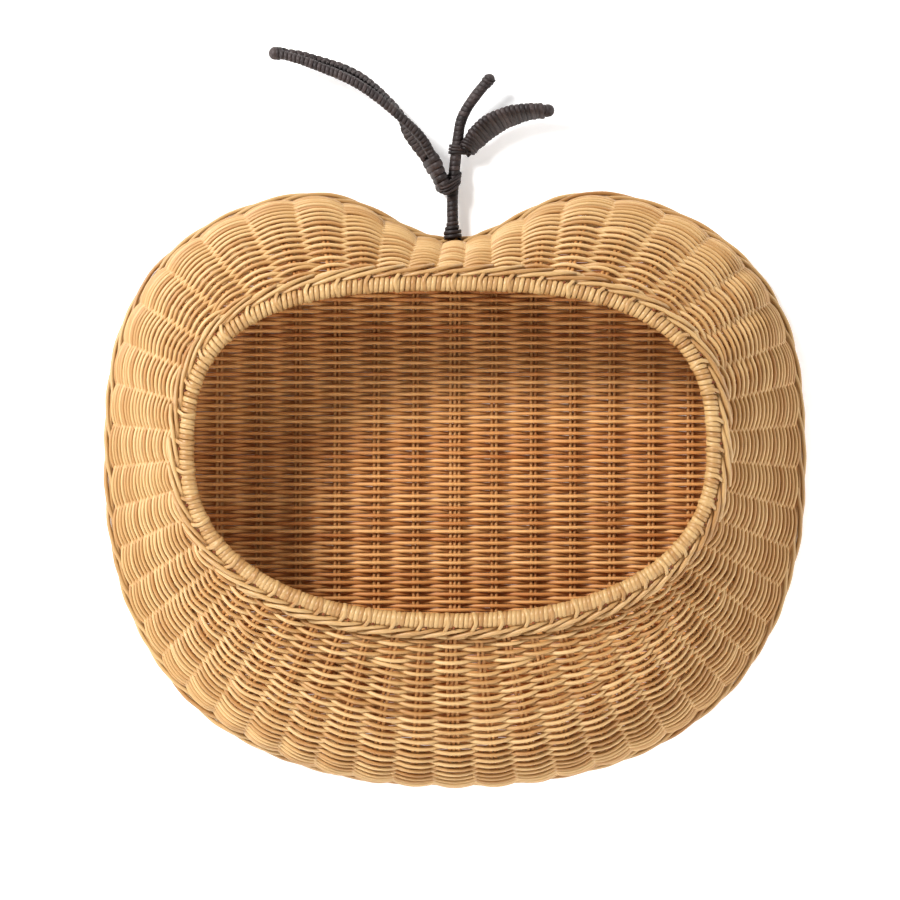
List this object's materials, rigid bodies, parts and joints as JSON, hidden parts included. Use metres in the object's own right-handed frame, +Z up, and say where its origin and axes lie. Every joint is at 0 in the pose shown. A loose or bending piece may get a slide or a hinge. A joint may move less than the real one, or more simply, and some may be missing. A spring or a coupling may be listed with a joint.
{
  "type": "wall basket",
  "caption": "Round-bodied woven cane wall basket shaped like an apple, with an oval mouth, a flat back and a dark bound stem with leaves.",
  "frame": {"origin": "on the flat back face, level with the middle of the mouth and midway across the body", "axes": "+Z up, +Y into the wall that the basket hangs on, +X to the right as seen from the front"},
  "size_m": [0.4106, 0.1003, 0.4283],
  "materials": {
    "rattan_weaver": "satin, unlacquered round cane",
    "rattan_rod": "satin, unlacquered round cane",
    "rattan_pale": "smooth split cane with a soft shine",
    "dark_cane": "dark stained binding with a dull shine"
  },
  "bodies": {
    "root": {"back_rods": "rattan_rod", "back_weavers_front": "rattan_weaver", "back_weavers_rear": "rattan_weaver", "back_hoop": "rattan_rod", "back_border_strand_a": "rattan_pale", "back_border_strand_b": "rattan_pale", "hanging_eyelet_left": "rattan_pale", "hanging_eyelet_right": "rattan_pale", "wall_rods_upper": "rattan_rod", "wall_rods_lower": "rattan_rod", "outer_rows_back": "rattan_weaver", "outer_rows_middle": "rattan_weaver", "outer_rows_front": "rattan_weaver", "inner_rows_back": "rattan_weaver", "inner_rows_middle": "rattan_weaver", "inner_rows_front": "rattan_weaver", "rim_hoop": "rattan_rod", "rim_wrap": "rattan_pale", "rim_border_strand_a": "rattan_pale", "rim_border_strand_b": "rattan_pale", "stem_core": "dark_cane", "stem_wrap": "dark_cane", "stem_collar": "dark_cane", "stem_cap": "dark_cane", "left_leaf_lashing": "dark_cane", "right_leaf_lashing": "dark_cane", "left_leaf_front_rod": "dark_cane", "left_leaf_rear_rod": "dark_cane", "left_leaf_web": "dark_cane", "left_leaf_tip": "dark_cane", "right_leaf_upper_rod": "dark_cane", "right_leaf_lower_rod": "dark_cane", "right_leaf_web": "dark_cane", "right_leaf_tip": "dark_cane"}
  },
  "joints": []
}
